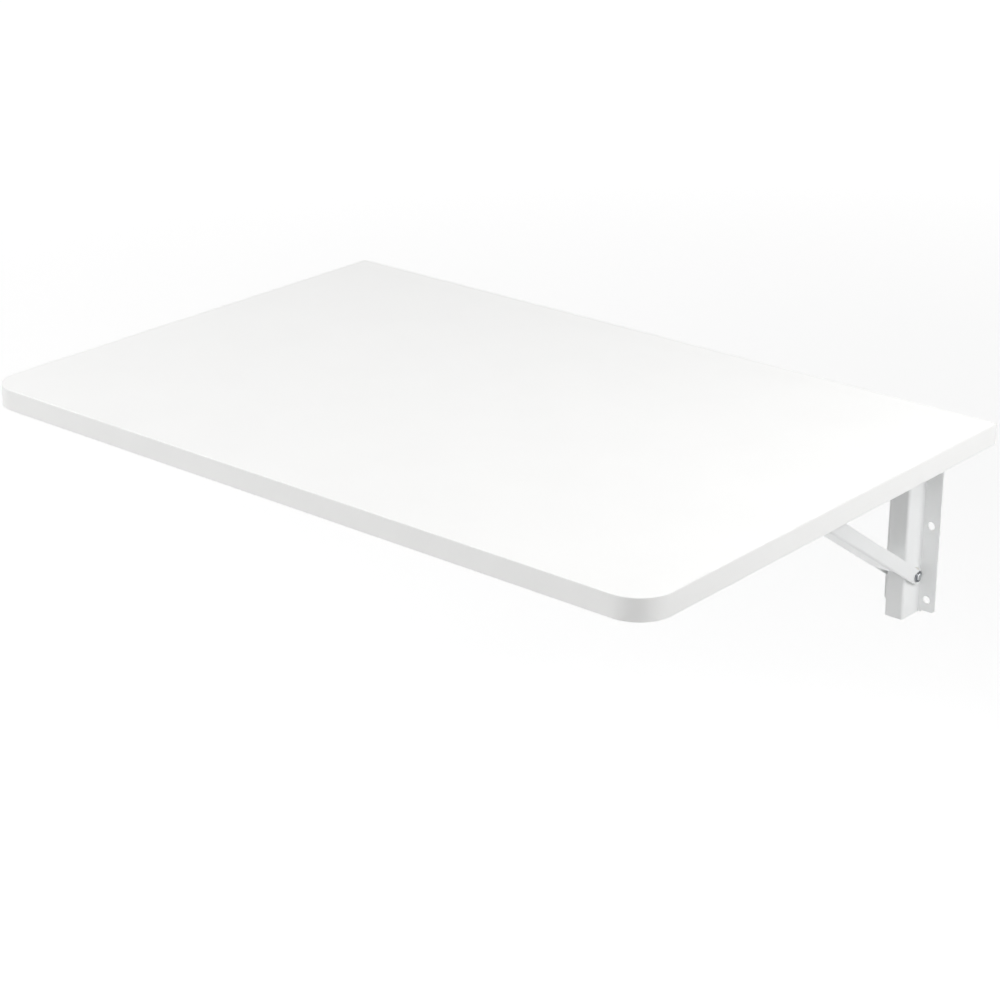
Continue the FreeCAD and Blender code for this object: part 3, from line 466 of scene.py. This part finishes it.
class TABLE_OT_edge_strips(bpy.types.Operator):
    """Wrap the edge strips round the board"""

    bl_idname = "drop_leaf.edge_strips"
    bl_label = "Edge strips"

    def execute(self, context):
        values = context.scene.drop_leaf_board
        material = material_once("white_abs_edge_strip", strip_material, values)
        corner, thickness = values.corner_radius, values.strip_thickness
        low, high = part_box("front_edge_band")
        wrap = start_block("edge_strip_round", low, high)
        choose(wrap, "EDGE",
               lambda edge: upright(edge) and middle_of(edge).y < low.y + MM)
        bpy.ops.mesh.bevel(offset=corner, segments=CORNER_SEGMENTS, affect="EDGES")
        choose(wrap, "FACE",
               lambda face: abs(face.normal.z) > FACING or face.normal.y > FACING)
        bpy.ops.mesh.delete(type="FACE")
        apply_modifier(wrap, "SOLIDIFY", thickness=thickness, offset=-1,
                       use_even_offset=True)
        centres = [Vector((side * (high.x - corner), low.y + corner))
                   for side in (1, -1)]

        def on_outer_rim(edge):
            """Whether an edge runs round the strip's outer face, above or below."""
            place = middle_of(edge)
            if upright(edge) or place.y > high.y - thickness / 4:
                return False
            if abs(place.x) > high.x - corner and place.y < low.y + corner:
                reach = min((place.xy - centre).length for centre in centres)
                return reach > corner - thickness / 2 and edge.calc_length() > MM / 2
            return abs(place.x) > high.x - NEAR or place.y < low.y + NEAR

        choose(wrap, "EDGE", on_outer_rim)
        bpy.ops.mesh.bevel(offset=values.strip_round, segments=STRIP_SEGMENTS,
                           affect="EDGES")
        finish_piece(wrap, material, "table", "front_edge_band")

        low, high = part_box("rear_edge_band")
        rear = start_block("edge_strip_wall", low, high)
        choose(rear, "EDGE", lambda edge: not upright(edge)
               and middle_of(edge).y > high.y - NEAR
               and edge.calc_length() > 2 * MM)
        bpy.ops.mesh.bevel(offset=values.strip_round, segments=STRIP_SEGMENTS,
                           affect="EDGES")
        finish_piece(rear, material, "table", "rear_edge_band")
        return {"FINISHED"}


class TABLE_OT_sheet_metal(bpy.types.Operator):
    """Coat the channels, rails, arms and release levers and soften their cut edges"""

    bl_idname = "drop_leaf.sheet_metal"
    bl_label = "Sheet metal"

    def execute(self, context):
        values = context.scene.drop_leaf_brackets
        material = material_once("white_powder_coat", powder_coat_material, values)
        for side in SIDES:
            for piece in ("wall_channel", "top_rail", "support_arm", "release_lever"):
                carry_over(f"{side}_{piece}", material, values.sheared_edge)
        return {"FINISHED"}


# Outline of a domed head, as height and radius, each a share of the head's own
DOMED_HEAD = (
    (0.0, 1.0), (0.2, 1.0), (0.42, 0.96), (0.62, 0.88), (0.79, 0.76), (0.92, 0.6),
    (0.98, 0.45), (1.0, 0.25),
)


def shape_head(pin, middle, sign, inner, radius, height):
    """Draw a domed head out of one end of a pin."""
    end = middle.x + sign * inner
    choose(pin, "FACE", lambda face: sign * face.normal.x > ALONG
           and abs(face.calc_center_median().x - end) < MM / 100)
    shank = max((vertex.co - Vector((end, middle.y, middle.z))).length
                for vertex in bmesh.from_edit_mesh(pin.data).verts if vertex.select)
    now_at, now_wide = 0.0, shank / radius
    for at, wide in DOMED_HEAD:
        bpy.ops.mesh.extrude_region_move(TRANSFORM_OT_translate={
            "value": (sign * (at - now_at) * height, 0, 0)})
        bpy.ops.transform.resize(
            value=(1, wide / now_wide, wide / now_wide),
            center_override=(end + sign * at * height, middle.y, middle.z))
        now_at, now_wide = at, wide


class TABLE_OT_hinge_pins(bpy.types.Operator):
    """Make the plated hinge pins with their domed heads"""

    bl_idname = "drop_leaf.hinge_pins"
    bl_label = "Hinge pins"

    def execute(self, context):
        values = context.scene.drop_leaf_brackets
        material = material_once("bright_zinc_plated_steel", zinc_material, values)
        shank_low, shank_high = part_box("right_slide_pin")
        shank = (shank_high.z - shank_low.z) / 2
        for side in SIDES:
            low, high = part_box(f"{side}_hinge_pin")
            middle = (low + high) / 2
            inner = (high.x - low.x) / 2 - values.head_height
            head = (high.z - low.z) / 2
            pin = start_rod(f"{side}_hinge_pin_set", middle, shank, 2 * inner)
            for sign in (1, -1):
                shape_head(pin, middle, sign, inner, head, values.head_height)
            finish_piece(pin, material, "wall", f"{side}_hinge_pin",
                         crease=HEAD_CREASE)
        return {"FINISHED"}


class TABLE_OT_fasteners(bpy.types.Operator):
    """Plate the arm pivots, slide pins, lever rivets and board screws"""

    bl_idname = "drop_leaf.fasteners"
    bl_label = "Fasteners"

    def execute(self, context):
        values = context.scene.drop_leaf_brackets
        material = material_once("bright_zinc_plated_steel", zinc_material, values)
        for side in SIDES:
            for piece in ("arm_pivot", "slide_pin", "lever_rivet", "board_screws"):
                carry_over(f"{side}_{piece}", material, values.turned_edge)
        return {"FINISHED"}


class TABLE_OT_plastics(bpy.types.Operator):
    """Finish the slide bushes, hinge spacers and arm washers"""

    bl_idname = "drop_leaf.plastics"
    bl_label = "Plastic parts"

    def execute(self, context):
        values = context.scene.drop_leaf_brackets
        material = material_once("natural_acetal", acetal_material, values)
        for side in SIDES:
            for piece in ("slide_bushes", "hinge_spacers", "arm_washers"):
                carry_over(f"{side}_{piece}", material, values.turned_edge)
        return {"FINISHED"}


class TABLE_OT_springs(bpy.types.Operator):
    """Finish the springs of the release levers and the rings on the arm pivots"""

    bl_idname = "drop_leaf.springs"
    bl_label = "Springs and rings"

    def execute(self, context):
        values = context.scene.drop_leaf_brackets
        material = material_once("bare_spring_steel", spring_steel_material, values)
        for side in SIDES:
            carry_over(f"{side}_retaining_ring", material, values.turned_edge)
            finish_node(f"{side}_lever_spring", material)
        return {"FINISHED"}


# Stage

FLOOR_WIDTH = 60.0
LIFT_NEAR, LIFT_FAR = 1.0, 4.0  # from the table, where the lift starts and is whole
SENSOR_WIDTH = 36.0             # in mm, as the lens is


def floor_material(values):
    """Plain painted floor, lifted to white for the camera, that still takes a shadow.

    Near the table the lift only makes up what the lamps leave short of white, and it
    grows to the whole with distance. From below, the floor is clear, so that the
    underside can be seen."""
    material, tree, output = blank_material("pale_floor")
    paint = add_node(tree, "ShaderNodeBsdfDiffuse", {"Color": values.floor})
    path = add_node(tree, "ShaderNodeLightPath")
    place = add_node(tree, "ShaderNodeTexCoord").outputs["Object"]
    away = add_node(tree, "ShaderNodeVectorMath", {
        0: place, 1: (0.0, 0.0, -values.floor_drop)}, operation="DISTANCE")
    share = add_node(tree, "ShaderNodeMapRange", {
        "Value": away.outputs["Value"], "From Min": LIFT_NEAR, "From Max": LIFT_FAR,
        "To Min": values.floor_lift, "To Max": 1.0})
    direct = add_node(tree, "ShaderNodeMath", {
        0: path.outputs["Is Camera Ray"], 1: path.outputs["Is Glossy Ray"]},
        operation="MAXIMUM")
    strength = add_node(tree, "ShaderNodeMath", {
        0: share.outputs["Result"], 1: direct.outputs["Value"]}, operation="MULTIPLY")
    lift = add_node(tree, "ShaderNodeEmission", {
        "Color": (1.0, 1.0, 1.0, 1.0), "Strength": strength.outputs["Value"]})
    above = add_node(tree, "ShaderNodeAddShader", {
        0: paint.outputs["BSDF"], 1: lift.outputs["Emission"]})
    clear = add_node(tree, "ShaderNodeBsdfTransparent")
    side = add_node(tree, "ShaderNodeNewGeometry")
    both = add_node(tree, "ShaderNodeMixShader", {
        0: side.outputs["Backfacing"], 1: above.outputs["Shader"],
        2: clear.outputs["BSDF"]})
    tree.links.new(both.outputs["Shader"], output.inputs["Surface"])
    return material


def light_world(scene, strength):
    """Even light from all round, and plain white to the camera and in reflections."""
    world = bpy.data.worlds.new("even_sky")
    scene.world = world
    world.use_nodes = True
    tree = world.node_tree
    tree.nodes.clear()
    output = add_node(tree, "ShaderNodeOutputWorld")
    path = add_node(tree, "ShaderNodeLightPath")
    direct = add_node(tree, "ShaderNodeMath", {
        0: path.outputs["Is Camera Ray"], 1: path.outputs["Is Glossy Ray"]},
        operation="MAXIMUM")
    white = add_node(tree, "ShaderNodeMath", {
        0: direct.outputs["Value"], 1: path.outputs["Is Transmission Ray"]},
        operation="MAXIMUM")
    level = add_node(tree, "ShaderNodeMapRange", {
        "Value": white.outputs["Value"], "To Min": strength, "To Max": 1.0})
    sky = add_node(tree, "ShaderNodeBackground", {
        "Color": (1.0, 1.0, 1.0, 1.0), "Strength": level.outputs["Result"]})
    tree.links.new(sky.outputs["Background"], output.inputs["Surface"])


# Name, place, what it points at and width of each lamp, in metres
LAMPS = (
    ("overhead", (0.0, -0.3, 2.2), (0.0, -0.2, 0.0), 2.2),
    ("left_hand", (-1.6, -1.6, 1.0), (0.0, -0.2, 0.0), 1.2),
    ("near_camera", (1.7, -2.1, 1.3), (0.0, -0.2, 0.0), 1.8),
    ("right_hand", (1.0, 0.05, 0.3), (0.3, -0.15, 0.0), 0.5),
    ("right_wall", (1.0, 0.2, 0.5), (0.3, -0.15, 0.0), 0.6),
    ("below", (0.1, -0.55, -0.72), (0.1, -0.54, 0.0), 1.0),
)


def soft_lamp(name, place, target, size, power):
    """A large square lamp that the camera doesn't see."""
    deselect()
    bpy.ops.object.light_add(type="AREA", location=place)
    lamp = bpy.context.object
    lamp.name = name
    lamp.data.shape = "SQUARE"
    lamp.data.size = size
    lamp.data.energy = power
    back = Vector(place) - Vector(target)
    lamp.rotation_euler = back.to_track_quat("Z", "Y").to_euler()
    lamp.visible_camera = False


class TABLE_OT_stage(bpy.types.Operator):
    """Set up the floor, the light and the camera"""

    bl_idname = "drop_leaf.stage"
    bl_label = "Stage"

    def execute(self, context):
        values = context.scene.drop_leaf_stage
        deselect()
        bpy.ops.mesh.primitive_plane_add(size=FLOOR_WIDTH,
                                         location=(0, 0, -values.floor_drop))
        floor = name_and_settle("floor")
        floor.data.materials.append(floor_material(values))
        light_world(context.scene, values.sky)
        for name, place, aim, size in LAMPS:
            soft_lamp(f"lamp_{name}", place, aim, size, getattr(values, name))
        deselect()
        bpy.ops.object.camera_add(location=values.camera_place)
        camera = context.object
        level = math.cos(values.elevation)
        back = Vector((math.sin(values.azimuth) * level,
                       -math.cos(values.azimuth) * level, math.sin(values.elevation)))
        camera.rotation_euler = (-back).to_track_quat("-Z", "Y").to_euler()
        camera.data.sensor_width = SENSOR_WIDTH
        camera.data.lens = values.lens
        context.scene.camera = camera
        context.scene.view_settings.view_transform = "Standard"
        return {"FINISHED"}


# Add-on

OPERATORS = (
    TABLE_OT_stage,
    TABLE_OT_board,
    TABLE_OT_edge_strips,
    TABLE_OT_sheet_metal,
    TABLE_OT_hinge_pins,
    TABLE_OT_fasteners,
    TABLE_OT_plastics,
    TABLE_OT_springs,
)
GROUPS = (
    ("drop_leaf_board", BoardValues),
    ("drop_leaf_brackets", BracketValues),
    ("drop_leaf_stage", StageValues),
)


class TABLE_PT_panel(bpy.types.Panel):
    """The table's values and the steps that make it"""

    bl_idname = "TABLE_PT_drop_leaf"
    bl_label = "Drop Leaf Table"
    bl_space_type = "VIEW_3D"
    bl_region_type = "UI"
    bl_category = "Table"

    def draw(self, context):
        for group, kind in GROUPS:
            box = self.layout.box()
            for name in kind.__annotations__:
                box.prop(getattr(context.scene, group), name)
        for operator in OPERATORS:
            self.layout.operator(operator.bl_idname)


def register():
    """Register the values, the steps and the panel."""
    for name, kind in GROUPS:
        bpy.utils.register_class(kind)
        setattr(bpy.types.Scene, name, bpy.props.PointerProperty(type=kind))
    for kind in OPERATORS + (TABLE_PT_panel,):
        bpy.utils.register_class(kind)


def unregister():
    """Take them out again."""
    for kind in (TABLE_PT_panel,) + OPERATORS[::-1]:
        bpy.utils.unregister_class(kind)
    for name, kind in GROUPS[::-1]:
        delattr(bpy.types.Scene, name)
        bpy.utils.unregister_class(kind)


def main():
    """Make the whole table."""
    register()
    for operator in OPERATORS:
        group, name = operator.bl_idname.split(".")
        getattr(getattr(bpy.ops, group), name)()
    bpy.context.view_layer.update()


if __name__ == "__main__":
    main()
